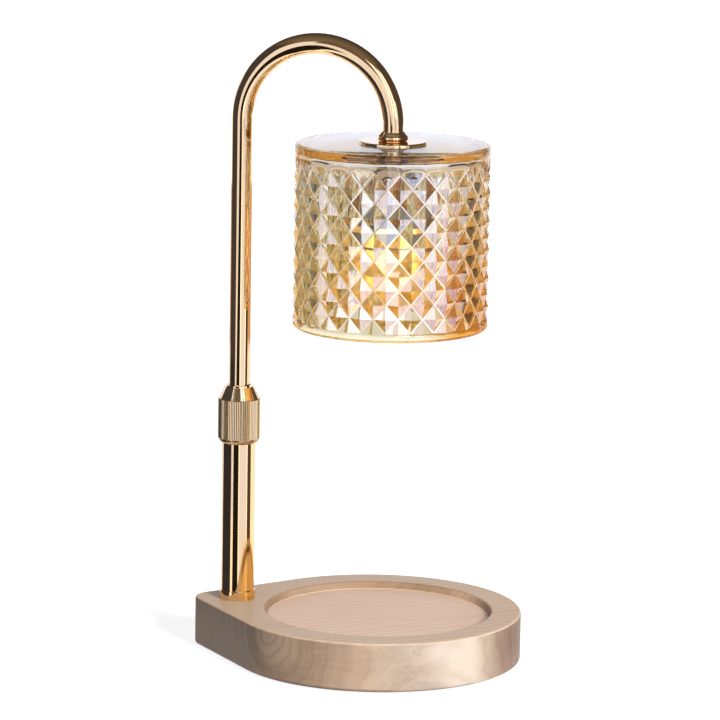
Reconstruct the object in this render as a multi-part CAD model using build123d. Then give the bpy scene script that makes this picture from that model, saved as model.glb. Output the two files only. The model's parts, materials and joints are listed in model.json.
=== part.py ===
from build123d import *
import math
import os

# A table lamp: a crook tube slides and swings in a post, a knurled nut locks it, and a glass
# shade with a reflector bulb hangs from it over a round recess in a teardrop wooden base.
# Millimetres, +Z up. X runs from the pointed tip to the round end of the base, the origin is
# the middle of the base on the table, and the arm stands as in its everyday position.

# Wooden base
ROUND_RADIUS = 69.3
TIP_RADIUS = 10.2
POST_TO_ROUND = 68.9
POST_TO_TIP = 10.3
WOOD_THICKNESS = 23.2
TOP_EDGE_ROUND = 1.0
BOTTOM_EDGE_ROUND = 1.5
RECESS_RADIUS = 54.2
RECESS_DEPTH = 3.2
RECESS_TO_ROUND = 1.1
RECESS_WALL_RUN = 1.6
RECESS_LIP_ROUND = 0.9

# Wiring pocket under the post, and the plate that closes the base
POCKET_RADIUS = 12.5
POCKET_LENGTH = 34.0
WOOD_OVER_POCKET = 9.0
PLATE_THICKNESS = 3.0
PLATE_MARGIN = 7.0
PLATE_LAP = 2.0
PLATE_CLEARANCE = 0.3

# Wood screws of the plate and rubber feet, placed on one circle about the round end's centre
FITTING_INSET = 8.0
SCREW_ANGLES = (20.0, 150.0)
SCREW_RADIUS = 1.5
SCREW_HEAD_RADIUS = 3.0
SCREW_LENGTH = 13.0
FOOT_ANGLES = (45.0, 98.0)
TIP_FOOT_OFFSET = 9.0
FOOT_RADIUS = 5.0
FOOT_THICKNESS = 1.0
FOOT_EDGE_ROUND = 0.3

# Post tube and what clamps it in the wood
POST_RADIUS = 8.0
POST_WALL = 1.5
POST_RISE = 91.7
POST_WOOD_CLEARANCE = 0.15
POST_END_PROUD = 1.0
FOOT_RING_WIDTH = 0.5
FOOT_RING_HEIGHT = 4.5
WASHER_RADIUS = 11.0
WASHER_THICKNESS = 1.5
POST_NUT_FLATS = 20.0
POST_NUT_HEIGHT = 5.0

# Rubber gland where the mains cord enters, in the straight side that faces away
GLAND_OFFSET = 14.0
GLAND_BORE_RADIUS = 3.2
GLAND_BODY_WALL = 1.0
GLAND_LENGTH = 6.0
GLAND_FLANGE_RADIUS = 5.5
GLAND_FLANGE_THICKNESS = 1.2

# Split collet, clamp ring and knurled lock nut
COLLET_DEPTH = 8.0
COLLET_FLANGE_WIDTH = 0.9
COLLET_FLANGE_THICKNESS = 2.0
COLLET_CONE_HEIGHT = 4.0
COLLET_CONE_FOOT_WALL = 1.95
COLLET_CONE_TOP_WALL = 1.15
COLLET_SLOTS = 6
COLLET_SLOT_WIDTH = 0.8
COLLET_SOLID_END = 2.5
CONE_GAP = 0.12
CLAMP_RING_LIFT = 0.6
CLAMP_RING_PROUD = 0.5
NUT_RADIUS = 10.0
NUT_COVER = 15.3
NUT_BODY_HEIGHT = 21.4
NUT_CONE_HEIGHT = 6.0
NUT_CONE_TOP_RADIUS = 6.9
NUT_LIP_HEIGHT = 0.8
NUT_LIP_RADIUS = 6.55
NUT_BOTTOM_ROUND = 2.5
KNURL_COUNT = 72
KNURL_DEPTH = 0.25

# Crook arm tube and its guide bush in the post
ARM_RADIUS = 5.0
ARM_WALL = 1.0
REACH = 73.25
ARM_RISE = 182.5
ARM_TRAVEL_UP = 33.0
BUSH_LENGTH = 12.0
BUSH_LIP = 1.0

# Neck on top of the shade
SHADE_DROP = 8.6
BEAD_WIDTH = 2.2
BEAD_HEIGHT = 3.0
BEAD_ROUND = 1.4
SLEEVE_WALL = 0.4
SLEEVE_HEIGHT = 4.7
SLEEVE_FOOT_WALL = 1.3
SLEEVE_FLARE_HEIGHT = 1.3
FLANGE_RADIUS = 16.0
FLANGE_THICKNESS = 1.2
FLANGE_EDGE_ROUND = 0.4
FLANGE_RIM_WIDTH = 1.5
TOP_GASKET_THICKNESS = 0.5
LOWER_GASKET_RADIUS = 9.0
LOWER_GASKET_THICKNESS = 0.8
NECK_HOLE_CLEARANCE = 0.4

# Glass shade, a thick-topped cylinder open below
SHADE_RADIUS = 46.2
SHADE_HEIGHT = 87.1
SHADE_WALL = 3.4
SHADE_TOP_THICKNESS = 4.0
SHADE_TOP_ROUND = 1.6
SHADE_BOTTOM_ROUND = 1.6
SHADE_INNER_ROUND = 4.0

# Lamp holder in its cup
SHADE_NUT_RADIUS = 6.9
SHADE_NUT_RIM_WIDTH = 1.6
SHADE_NUT_RIM_THICKNESS = 1.5
SHADE_NUT_HEIGHT = 6.0
SHADE_NUT_FLAT_CUT = 0.8
CUP_RADIUS = 14.5
CUP_WALL = 0.8
CUP_HEIGHT = 20.7
CUP_ROUND = 1.5
CUP_NUT_FLATS = 13.0
CUP_NUT_HEIGHT = 3.5
ARM_END_PROUD = 0.5
HOLDER_CLEARANCE = 0.1
HOLDER_CAVITY_RADIUS = 8.0
HOLDER_FLOOR = 8.0
HOLDER_FACE = 3.0
HOLDER_SCREW_OFFSET = 10.6
HOLDER_SCREW_RADIUS = 1.5
HOLDER_SCREW_HEAD_RADIUS = 2.6
HOLDER_SCREW_HEAD_HEIGHT = 1.6
HOLDER_SCREW_LENGTH = 9.0
CONTACT_THICKNESS = 0.8
CONTACT_WIDTH = 3.2

# Reflector bulb with a two-pin twist base
PIN_OFFSET = 5.0
PIN_NECK_RADIUS = 1.3
PIN_HEAD_RADIUS = 2.4
PIN_HEAD_HEIGHT = 2.5
BULB_TWIST = 20.0
BULB_LENGTH = 46.0
BULB_RADIUS = 25.0
BULB_BASE_RADIUS = 11.5
BULB_BASE_HEIGHT = 11.0
BULB_BASE_ROUND = 1.0
REFLECTOR_WALL = 1.5
REFLECTOR_RIM_HEIGHT = 3.0
LENS_THICKNESS = 1.8
CAPSULE_RADIUS = 4.5
CAPSULE_LENGTH = 19.0

# Inner leads and their crimp caps
LEAD_RADIUS = 0.8
LEAD_SPACING = 2.4
SLACK_WAVE = 2.0
CAP_RADIUS = 2.2
CAP_LENGTH = 9.0
CAP_SPACING = 6.4
CAP_OFFSET = 24.0

# Fits
FIXED_FIT = 0.02
RUNNING_FIT = 0.05
FREE_GAP = 0.3

# Heights, from the table up
wood_low = FOOT_THICKNESS
wood_top = wood_low + WOOD_THICKNESS
plate_top = wood_low + PLATE_THICKNESS
pocket_top = wood_top - WOOD_OVER_POCKET
recess_floor = wood_top - RECESS_DEPTH
washer_low = pocket_top - WASHER_THICKNESS
post_nut_low = washer_low - POST_NUT_HEIGHT
post_low = post_nut_low - POST_END_PROUD
post_top = wood_top + POST_RISE
flange_top = post_top + COLLET_FLANGE_THICKNESS
cone_top = flange_top + COLLET_CONE_HEIGHT
nut_low = post_top - NUT_COVER
nut_shoulder = cone_top + CLAMP_RING_PROUD
arm_low = post_top - COLLET_DEPTH - FREE_GAP - ARM_TRAVEL_UP - BUSH_LENGTH
crook_radius = REACH / 2
crook_height = post_top + ARM_RISE - ARM_RADIUS - crook_radius
shade_top = crook_height - SHADE_DROP
shade_low = shade_top - SHADE_HEIGHT
shade_ceiling = shade_top - SHADE_TOP_THICKNESS
collar_low = shade_top + FLANGE_THICKNESS
shade_nut_top = shade_ceiling - LOWER_GASKET_THICKNESS
cup_top = shade_nut_top - SHADE_NUT_HEIGHT
cup_low = cup_top - CUP_HEIGHT
cup_ceiling = cup_top - CUP_WALL
arm_end = cup_ceiling - CUP_NUT_HEIGHT - ARM_END_PROUD
bulb_top = cup_low - FREE_GAP
bulb_low = bulb_top - BULB_LENGTH
bulb_base_low = bulb_top - BULB_BASE_HEIGHT
reflector_low = bulb_low + LENS_THICKNESS
holder_face_top = cup_low + HOLDER_FACE
pin_head_low = holder_face_top + RUNNING_FIT
pin_top = pin_head_low + PIN_HEAD_HEIGHT
contact_low = pin_top + RUNNING_FIT
contact_top = contact_low + CONTACT_THICKNESS
holder_floor_top = cup_low + HOLDER_FLOOR

# Places along X
post_x = (POST_TO_TIP + TIP_RADIUS - POST_TO_ROUND - ROUND_RADIUS) / 2
round_x = post_x + POST_TO_ROUND
recess_x = round_x + RECESS_TO_ROUND
tip_x = post_x - POST_TO_TIP
cup_x = post_x + REACH
cap_x = post_x + CAP_OFFSET

# Radii that follow from the driving dimensions
post_bore = POST_RADIUS - POST_WALL
arm_bore = ARM_RADIUS - ARM_WALL
collet_bore = ARM_RADIUS + RUNNING_FIT
neck_hole = ARM_RADIUS + NECK_HOLE_CLEARANCE
shade_bore = SHADE_RADIUS - SHADE_WALL
cup_bore = CUP_RADIUS - CUP_WALL
fitting_circle = ROUND_RADIUS - PLATE_MARGIN - FITTING_INSET

# The straight sides of the base: cosine and sine of their outward normal's turn from -X
side_cos = (ROUND_RADIUS - TIP_RADIUS) / (POST_TO_ROUND + POST_TO_TIP)
side_sin = math.sqrt(1 - side_cos**2)
gland_reach = TIP_RADIUS + (POST_TO_TIP + GLAND_OFFSET) * side_cos
gland_height = (plate_top + pocket_top) / 2
gland_frame = Plane(
    origin=(post_x + GLAND_OFFSET, 0, gland_height), x_dir=(0, 0, 1), z_dir=(-side_cos, side_sin, 0)
)


def disc(radius, low, high, x=0.0, y=0.0):
    """Upright cylinder between two heights."""
    return Pos(x, y, low) * Cylinder(radius, high - low, align=(Align.CENTER, Align.CENTER, Align.MIN))


def ring(outer, inner, low, high, x=0.0, y=0.0):
    """Upright tube between two heights."""
    return disc(outer, low, high, x, y) - disc(inner, low, high, x, y)


def turned(points, x):
    """Solid turned about the upright axis at x from (radius, height) points."""
    face = make_face(Polyline(*[(r, 0, z) for r, z in points], close=True))
    return Pos(x, 0, 0) * revolve(face, Axis.Z)


def hexagon(flats, low, high, x):
    """Hexagonal prism with the given width across its flats."""
    outline = RegularPolygon(flats / 2, 6, major_radius=False)
    return Pos(x, 0, low) * extrude(outline, high - low)


def hoops(part, radius, height, x):
    """Circular edges of one radius and height about the upright axis at x."""
    near = 1e-3
    return [
        e for e in part.edges().filter_by(GeomType.CIRCLE)
        if abs(e.radius - radius) < near and abs(e.arc_center.Z - height) < near
        and abs(e.arc_center.X - x) < near
    ]


def drop_plan(round_radius, end_radius, end_x):
    """Plan of a round end and a smaller end joined by their outer tangents."""
    cosine = (round_radius - end_radius) / (round_x - end_x)
    sine = math.sqrt(1 - cosine**2)
    big = (round_x - round_radius * cosine, round_radius * sine)
    small = (end_x - end_radius * cosine, end_radius * sine)
    outline = [
        Line(small, big),
        ThreePointArc(big, (round_x + round_radius, 0), (big[0], -big[1])),
        Line((big[0], -big[1]), (small[0], -small[1])),
        ThreePointArc((small[0], -small[1]), (end_x - end_radius, 0), small),
    ]
    return make_face(outline)


def fitting_places(angles):
    """Mirrored pairs of places on the fitting circle, at angles counted from +X."""
    places = []
    for angle in angles:
        across = fitting_circle * math.sin(math.radians(angle))
        along = round_x + fitting_circle * math.cos(math.radians(angle))
        places += [(along, across), (along, -across)]
    return places


def corner_radii(points):
    """Arc radii that use most of the shorter run beside each corner of a lead's route."""
    runs = [Vector(b) - Vector(a) for a, b in zip(points, points[1:])]
    radii = []
    for before, after in zip(runs, runs[1:]):
        half_turn = math.radians(before.get_angle(after)) / 2
        radii.append(0.45 * min(before.length, after.length) / math.tan(half_turn))
    return radii


def lead_along(path):
    """Round lead swept along a path."""
    section = Plane(origin=path @ 0, z_dir=path % 0) * Circle(LEAD_RADIUS)
    return sweep(section, path=path)


def group(solids):
    """Separate solids kept in one node."""
    return Compound(children=[solid for part in solids for solid in part.solids()])


# Base


def wood_base():
    body = Pos(0, 0, wood_low) * extrude(drop_plan(ROUND_RADIUS, TIP_RADIUS, tip_x), WOOD_THICKNESS)
    body = fillet(body.faces().sort_by(Axis.Z)[-1].edges(), TOP_EDGE_ROUND)
    body = fillet(body.faces().sort_by(Axis.Z)[0].edges(), BOTTOM_EDGE_ROUND)
    body -= turned(
        [(0, recess_floor), (RECESS_RADIUS - RECESS_WALL_RUN, recess_floor),
         (RECESS_RADIUS, wood_top), (0, wood_top)],
        recess_x,
    )
    body = fillet(hoops(body, RECESS_RADIUS, wood_top, recess_x), RECESS_LIP_ROUND)
    rebate = drop_plan(
        ROUND_RADIUS - PLATE_MARGIN + PLATE_CLEARANCE,
        POCKET_RADIUS + PLATE_LAP + PLATE_CLEARANCE,
        post_x,
    )
    body -= Pos(0, 0, wood_low) * extrude(rebate, PLATE_THICKNESS)
    pocket = Pos(post_x + POCKET_LENGTH / 2, 0) * SlotCenterToCenter(POCKET_LENGTH, 2 * POCKET_RADIUS)
    body -= Pos(0, 0, plate_top) * extrude(pocket, pocket_top - plate_top)
    body -= disc(POST_RADIUS + POST_WOOD_CLEARANCE, pocket_top, wood_top, post_x)
    for x, y in fitting_places(SCREW_ANGLES):
        body -= disc(SCREW_RADIUS + FIXED_FIT, plate_top, wood_low + SCREW_LENGTH + FREE_GAP, x, y)
    gland_hole = Cylinder(
        GLAND_BORE_RADIUS + GLAND_BODY_WALL + FIXED_FIT, gland_reach,
        align=(Align.CENTER, Align.CENTER, Align.MIN),
    )
    body -= gland_frame * gland_hole
    return body


def bottom_plate():
    plan = drop_plan(ROUND_RADIUS - PLATE_MARGIN, POCKET_RADIUS + PLATE_LAP, post_x)
    plate = Pos(0, 0, wood_low) * extrude(plan, PLATE_THICKNESS)
    for x, y in fitting_places(SCREW_ANGLES):
        sink = Cone(
            SCREW_HEAD_RADIUS + RUNNING_FIT, SCREW_RADIUS + RUNNING_FIT, PLATE_THICKNESS,
            align=(Align.CENTER, Align.CENTER, Align.MIN),
        )
        plate -= Pos(x, y, wood_low) * sink
    return plate


def plate_screws():
    slot_width = 0.25 * SCREW_HEAD_RADIUS
    slot_depth = 0.5 * PLATE_THICKNESS
    screws = []
    for x, y in fitting_places(SCREW_ANGLES):
        head = Pos(x, y, wood_low) * Cone(
            SCREW_HEAD_RADIUS, SCREW_RADIUS, PLATE_THICKNESS,
            align=(Align.CENTER, Align.CENTER, Align.MIN),
        )
        shank = disc(SCREW_RADIUS, plate_top, wood_low + SCREW_LENGTH, x, y)
        cross = Box(1.3 * SCREW_HEAD_RADIUS, slot_width, 2 * slot_depth)
        cross += Box(slot_width, 1.3 * SCREW_HEAD_RADIUS, 2 * slot_depth)
        screws.append(head + shank - Pos(x, y, wood_low) * cross)
    return group(screws)


def rubber_feet():
    feet = []
    tip_pair = [(post_x, -TIP_FOOT_OFFSET), (post_x, TIP_FOOT_OFFSET)]
    for x, y in fitting_places(FOOT_ANGLES) + tip_pair:
        foot = disc(FOOT_RADIUS, 0, FOOT_THICKNESS, x, y)
        feet.append(fillet(hoops(foot, FOOT_RADIUS, 0, x), FOOT_EDGE_ROUND))
    return group(feet)


def foot_ring():
    outer = POST_RADIUS + FOOT_RING_WIDTH
    top = wood_top + FOOT_RING_HEIGHT
    body = ring(outer, POST_RADIUS + FIXED_FIT, wood_top, top, post_x)
    return fillet(hoops(body, outer, top, post_x), FOOT_RING_WIDTH / 2)


def post_tube():
    return ring(POST_RADIUS, post_bore, post_low, post_top, post_x)


def post_washer():
    return ring(WASHER_RADIUS, POST_RADIUS + POST_WOOD_CLEARANCE, washer_low, pocket_top, post_x)


def post_nut():
    body = hexagon(POST_NUT_FLATS, post_nut_low, washer_low, post_x)
    return body - disc(POST_RADIUS + FIXED_FIT, post_nut_low, washer_low, post_x)


def cord_gland():
    up = (Align.CENTER, Align.CENTER, Align.MIN)
    length = GLAND_LENGTH + GLAND_FLANGE_THICKNESS
    body = Cylinder(GLAND_BORE_RADIUS + GLAND_BODY_WALL, length, align=up)
    flange = Cylinder(GLAND_FLANGE_RADIUS, GLAND_FLANGE_THICKNESS, align=up)
    body += Pos(0, 0, GLAND_LENGTH) * flange
    body -= Cylinder(GLAND_BORE_RADIUS, length, align=up)
    return gland_frame * Pos(0, 0, gland_reach - GLAND_LENGTH) * body


def crimp_caps():
    caps = []
    for side in (-1, 1):
        cap = Cylinder(CAP_RADIUS, CAP_LENGTH, align=(Align.CENTER, Align.CENTER, Align.MIN))
        cap = fillet(cap.edges().sort_by(Axis.Z)[-1:], 0.5 * CAP_RADIUS)
        place = Pos(cap_x, side * CAP_SPACING / 2, plate_top + CAP_RADIUS + FIXED_FIT)
        caps.append(place * Rot(0, 90, 0) * cap)
    return group(caps)


def slack_lead():
    top = arm_low - BUSH_LIP - FREE_GAP
    run = plate_top + CAP_RADIUS + FIXED_FIT
    drop = top - run
    leads = []
    for side in (-1, 1):
        near = side * LEAD_SPACING / 2
        far = side * CAP_SPACING / 2
        route = [
            (post_x, near, top),
            (post_x + SLACK_WAVE, near, run + 0.72 * drop),
            (post_x - SLACK_WAVE, near, run + 0.42 * drop),
            (post_x, near, run),
            (post_x + 0.5 * CAP_OFFSET, near, run),
            (cap_x - 0.1 * CAP_OFFSET, far, run),
            (cap_x, far, run),
        ]
        radii = corner_radii(route)
        print("slack lead radii", [round(r, 1) for r in radii])
        leads.append(lead_along(FilletPolyline(*route, radius=radii)))
    return group(leads)


# Collet, clamp ring and lock nut


def collet_cone_wall(height):
    """Wall of the collet's cone at a height, over its bore."""
    share = (height - flange_top) / COLLET_CONE_HEIGHT
    return COLLET_CONE_FOOT_WALL + share * (COLLET_CONE_TOP_WALL - COLLET_CONE_FOOT_WALL)


def split_collet():
    low = post_top - COLLET_DEPTH
    stem = post_bore - RUNNING_FIT
    body = turned(
        [(collet_bore, low), (stem, low), (stem, post_top),
         (post_bore + COLLET_FLANGE_WIDTH, post_top), (post_bore + COLLET_FLANGE_WIDTH, flange_top),
         (collet_bore + COLLET_CONE_FOOT_WALL, flange_top),
         (collet_bore + COLLET_CONE_TOP_WALL, cone_top), (collet_bore, cone_top)],
        post_x,
    )
    slot_low = low + COLLET_SOLID_END
    slot = Box(
        2 * POST_RADIUS, COLLET_SLOT_WIDTH, cone_top - slot_low,
        align=(Align.MIN, Align.CENTER, Align.MIN),
    )
    for k in range(COLLET_SLOTS):
        body -= Pos(post_x, 0, slot_low) * Rot(0, 0, k * 360 / COLLET_SLOTS) * slot
    return body


def clamp_ring():
    low = flange_top + CLAMP_RING_LIFT
    outer = POST_RADIUS - RUNNING_FIT
    inner_low = collet_bore + collet_cone_wall(low) + CONE_GAP
    inner_top = collet_bore + collet_cone_wall(nut_shoulder) + CONE_GAP
    return turned(
        [(inner_low, low), (outer, low), (outer, nut_shoulder), (inner_top, nut_shoulder)], post_x
    )


def knurled_plan():
    """Plan of a bar with fine straight flutes all round."""
    points = []
    for k in range(2 * KNURL_COUNT):
        radius = NUT_RADIUS - KNURL_DEPTH * (k % 2)
        angle = math.pi * k / KNURL_COUNT
        points.append((radius * math.cos(angle), radius * math.sin(angle)))
    return make_face(Polyline(*points, close=True))


def lock_nut():
    root = NUT_RADIUS - KNURL_DEPTH
    knurl_low = nut_low + NUT_BOTTOM_ROUND
    body_top = nut_low + NUT_BODY_HEIGHT
    cone_end = body_top + NUT_CONE_HEIGHT
    top = cone_end + NUT_LIP_HEIGHT
    foot = disc(root, nut_low, knurl_low)
    body = fillet(hoops(foot, root, nut_low, 0), 0.95 * NUT_BOTTOM_ROUND)
    body += Pos(0, 0, knurl_low) * extrude(knurled_plan(), body_top - knurl_low)
    body += turned(
        [(0, body_top), (root, body_top), (NUT_CONE_TOP_RADIUS, cone_end),
         (NUT_LIP_RADIUS, cone_end), (NUT_LIP_RADIUS, top), (0, top)],
        0,
    )
    body -= disc(POST_RADIUS + RUNNING_FIT, nut_low, nut_shoulder)
    body -= disc(ARM_RADIUS + FREE_GAP, nut_shoulder, top)
    return Pos(post_x, 0, 0) * body


# Crook arm


def crook_path(low, end, across=0.0):
    """Centre line of the crook from a height in the post to a height on the short leg."""
    return Wire([
        Line((post_x, across, low), (post_x, across, crook_height)),
        ThreePointArc(
            (post_x, across, crook_height),
            (post_x + crook_radius, across, crook_height + crook_radius),
            (cup_x, across, crook_height),
        ),
        Line((cup_x, across, crook_height), (cup_x, across, end)),
    ])


def arm_tube():
    path = crook_path(arm_low, arm_end)
    section = Plane(origin=path @ 0, z_dir=path % 0) * (Circle(ARM_RADIUS) - Circle(arm_bore))
    return sweep(section, path=path)


def guide_bush():
    outer = post_bore - RUNNING_FIT
    body = ring(outer, ARM_RADIUS + FIXED_FIT, arm_low, arm_low + BUSH_LENGTH, post_x)
    return body + ring(outer, arm_bore, arm_low - BUSH_LIP, arm_low, post_x)


def neck_collar():
    outer = ARM_RADIUS + SLEEVE_WALL
    foot = ARM_RADIUS + SLEEVE_FOOT_WALL
    bead_radius = ARM_RADIUS + BEAD_WIDTH
    bead_top = collar_low + BEAD_HEIGHT
    sleeve_top = collar_low + SLEEVE_HEIGHT
    flare_top = bead_top + SLEEVE_FLARE_HEIGHT
    bead = disc(bead_radius, collar_low, bead_top, cup_x)
    bead = fillet(bead.edges().filter_by(GeomType.CIRCLE), min(BEAD_ROUND, 0.47 * BEAD_HEIGHT))
    sleeve = turned(
        [(0, collar_low), (foot, collar_low), (foot, bead_top), (outer, flare_top),
         (outer, sleeve_top), (0, sleeve_top)],
        cup_x,
    )
    return bead + sleeve - disc(ARM_RADIUS + FIXED_FIT, collar_low, sleeve_top, cup_x)


def shade_flange():
    body = disc(FLANGE_RADIUS, shade_top, collar_low, cup_x)
    body = fillet(hoops(body, FLANGE_RADIUS, collar_low, cup_x), FLANGE_EDGE_ROUND)
    body -= disc(FLANGE_RADIUS - FLANGE_RIM_WIDTH, shade_top, shade_top + TOP_GASKET_THICKNESS, cup_x)
    return body - disc(ARM_RADIUS + FIXED_FIT, shade_top, collar_low, cup_x)


def top_gasket():
    outer = FLANGE_RADIUS - FLANGE_RIM_WIDTH - FREE_GAP
    return ring(outer, ARM_RADIUS + FREE_GAP, shade_top, shade_top + TOP_GASKET_THICKNESS, cup_x)


def glass_shade():
    body = disc(SHADE_RADIUS, shade_low, shade_top, cup_x)
    body -= disc(shade_bore, shade_low, shade_ceiling, cup_x)
    body -= disc(neck_hole, shade_ceiling, shade_top, cup_x)
    body = fillet(hoops(body, SHADE_RADIUS, shade_top, cup_x), SHADE_TOP_ROUND)
    rim = hoops(body, SHADE_RADIUS, shade_low, cup_x) + hoops(body, shade_bore, shade_low, cup_x)
    body = fillet(rim, min(SHADE_BOTTOM_ROUND, 0.47 * SHADE_WALL))
    return fillet(hoops(body, shade_bore, shade_ceiling, cup_x), SHADE_INNER_ROUND)


def lower_gasket():
    return ring(LOWER_GASKET_RADIUS, ARM_RADIUS + FREE_GAP, shade_nut_top, shade_ceiling, cup_x)


def shade_nut():
    rim_low = shade_nut_top - SHADE_NUT_RIM_THICKNESS
    body = disc(SHADE_NUT_RADIUS, cup_top, rim_low, cup_x)
    for side in (-1, 1):
        cut = Box(2 * SHADE_NUT_RADIUS, SHADE_NUT_FLAT_CUT, rim_low - cup_top,
                  align=(Align.CENTER, Align.CENTER, Align.MIN))
        body -= Pos(cup_x, side * (SHADE_NUT_RADIUS - SHADE_NUT_FLAT_CUT / 2), cup_top) * cut
    body += disc(SHADE_NUT_RADIUS + SHADE_NUT_RIM_WIDTH, rim_low, shade_nut_top, cup_x)
    return body - disc(ARM_RADIUS + FIXED_FIT, cup_top, shade_nut_top, cup_x)


# Lamp holder


def holder_cup():
    body = disc(CUP_RADIUS, cup_low, cup_top, cup_x)
    body = fillet(hoops(body, CUP_RADIUS, cup_top, cup_x), CUP_ROUND)
    body -= disc(cup_bore, cup_low, cup_ceiling, cup_x)
    body -= disc(ARM_RADIUS + FIXED_FIT, cup_ceiling, cup_top, cup_x)
    for side in (-1, 1):
        x = cup_x + side * HOLDER_SCREW_OFFSET
        body -= disc(HOLDER_SCREW_RADIUS + RUNNING_FIT, cup_ceiling, cup_top, x)
    return body


def cup_nut():
    low = cup_ceiling - CUP_NUT_HEIGHT
    body = hexagon(CUP_NUT_FLATS, low, cup_ceiling, cup_x)
    return body - disc(ARM_RADIUS + FIXED_FIT, low, cup_ceiling, cup_x)


def twist_slot(half_width, low, high):
    """Curved slot that a pin sweeps as the bulb turns from locked to free, on both sides."""
    height = high - low
    up = (Align.CENTER, Align.CENTER, Align.MIN)
    band = Cylinder(PIN_OFFSET + half_width, height, align=up)
    band -= Cylinder(PIN_OFFSET - half_width, height, align=up)
    reach = 2 * (PIN_OFFSET + half_width)
    turn = math.radians(BULB_TWIST)
    wedge = Polyline((0, 0), (0, reach), (reach * math.sin(turn), reach * math.cos(turn)), close=True)
    band &= extrude(make_face(wedge), height)
    for angle in (0, -BULB_TWIST):
        band += Rot(0, 0, angle) * Pos(0, PIN_OFFSET, 0) * Cylinder(half_width, height, align=up)
    return Pos(cup_x, 0, low) * (band + Rot(0, 0, 180) * band)


def lamp_holder():
    body = disc(cup_bore - HOLDER_CLEARANCE, cup_low, cup_ceiling, cup_x)
    body -= disc(HOLDER_CAVITY_RADIUS, holder_floor_top, cup_ceiling, cup_x)
    body -= twist_slot(PIN_NECK_RADIUS + FREE_GAP, cup_low, holder_face_top)
    body -= twist_slot(PIN_HEAD_RADIUS + FREE_GAP, holder_face_top, contact_top)
    for side in (-1, 1):
        entry = Pos(0, side * PIN_OFFSET, cup_low) * Cylinder(
            PIN_HEAD_RADIUS + FREE_GAP, HOLDER_FACE, align=(Align.CENTER, Align.CENTER, Align.MIN)
        )
        body -= Pos(cup_x, 0, 0) * Rot(0, 0, -BULB_TWIST) * entry
        body -= disc(LEAD_RADIUS + FREE_GAP, contact_top, holder_floor_top, cup_x, side * PIN_OFFSET)
        x = cup_x + side * HOLDER_SCREW_OFFSET
        body -= disc(HOLDER_SCREW_RADIUS + FIXED_FIT, cup_top - HOLDER_SCREW_LENGTH - FREE_GAP, cup_ceiling, x)
    return body


def holder_screws():
    screws = []
    for side in (-1, 1):
        x = cup_x + side * HOLDER_SCREW_OFFSET
        head_top = cup_top + HOLDER_SCREW_HEAD_HEIGHT
        screw = disc(HOLDER_SCREW_HEAD_RADIUS, cup_top, head_top, x)
        screw = fillet(hoops(screw, HOLDER_SCREW_HEAD_RADIUS, head_top, x), 0.4 * HOLDER_SCREW_HEAD_HEIGHT)
        screw += disc(HOLDER_SCREW_RADIUS, cup_top - HOLDER_SCREW_LENGTH, cup_top, x)
        slot = Box(2 * HOLDER_SCREW_HEAD_RADIUS, 0.3 * HOLDER_SCREW_HEAD_RADIUS, HOLDER_SCREW_HEAD_HEIGHT)
        screws.append(screw - Pos(x, 0, head_top) * slot)
    return group(screws)


def holder_contacts():
    contacts = []
    for side in (-1, 1):
        plate = Box(CONTACT_WIDTH, CONTACT_WIDTH, CONTACT_THICKNESS,
                    align=(Align.CENTER, Align.CENTER, Align.MIN))
        contacts.append(Pos(cup_x, side * PIN_OFFSET, contact_low) * plate)
    return group(contacts)


def lamp_leads():
    low = arm_low
    leads = []
    for side in (-1, 1):
        near = side * LEAD_SPACING / 2
        far = side * PIN_OFFSET
        bend_top = arm_end - 0.1 * (arm_end - contact_top)
        bend_low = contact_top + 0.3 * (arm_end - contact_top)
        tail = [(cup_x, near, arm_end + ARM_RADIUS), (cup_x, near, bend_top),
                (cup_x, far, bend_low), (cup_x, far, contact_top)]
        radii = corner_radii(tail)
        print("lamp lead radii", [round(r, 1) for r in radii])
        upper = crook_path(low, arm_end + ARM_RADIUS, near)
        lower = FilletPolyline(*tail, radius=radii)
        leads.append(lead_along(Wire(upper.edges() + lower.edges())))
    return group(leads)


# Bulb


def bulb_base():
    body = disc(BULB_BASE_RADIUS, bulb_base_low, bulb_top, cup_x)
    return fillet(hoops(body, BULB_BASE_RADIUS, bulb_top, cup_x), BULB_BASE_ROUND)


def bulb_pins():
    pins = []
    for side in (-1, 1):
        y = side * PIN_OFFSET
        neck = disc(PIN_NECK_RADIUS, bulb_top, pin_head_low, cup_x, y)
        pins.append(neck + disc(PIN_HEAD_RADIUS, pin_head_low, pin_top, cup_x, y))
    return group(pins)


def reflector_profile(inset):
    """Curve of the reflector from its neck to its rim, moved inwards by inset."""
    neck = (BULB_BASE_RADIUS - inset, bulb_base_low)
    rim = (BULB_RADIUS - inset, reflector_low + REFLECTOR_RIM_HEIGHT)
    rise = neck[1] - rim[1]
    middle = (neck[0] + 0.66 * (rim[0] - neck[0]), rim[1] + 0.5 * rise)
    return neck, middle, rim


def reflector_blank(inset):
    """Solid inside the reflector's curve, from its neck down to its rim."""
    neck, middle, rim = reflector_profile(inset)
    outline = [
        Line((0, 0, neck[1]), (neck[0], 0, neck[1])),
        ThreePointArc((neck[0], 0, neck[1]), (middle[0], 0, middle[1]), (rim[0], 0, rim[1])),
        Line((rim[0], 0, rim[1]), (rim[0], 0, reflector_low)),
        Line((rim[0], 0, reflector_low), (0, 0, reflector_low)),
        Line((0, 0, reflector_low), (0, 0, neck[1])),
    ]
    return Pos(cup_x, 0, 0) * revolve(make_face(outline), Axis.Z)


def bulb_reflector():
    return reflector_blank(0) - reflector_blank(REFLECTOR_WALL)


def bulb_lens():
    body = disc(BULB_RADIUS, bulb_low, reflector_low, cup_x)
    return fillet(hoops(body, BULB_RADIUS, bulb_low, cup_x), 0.5 * LENS_THICKNESS)


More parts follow.
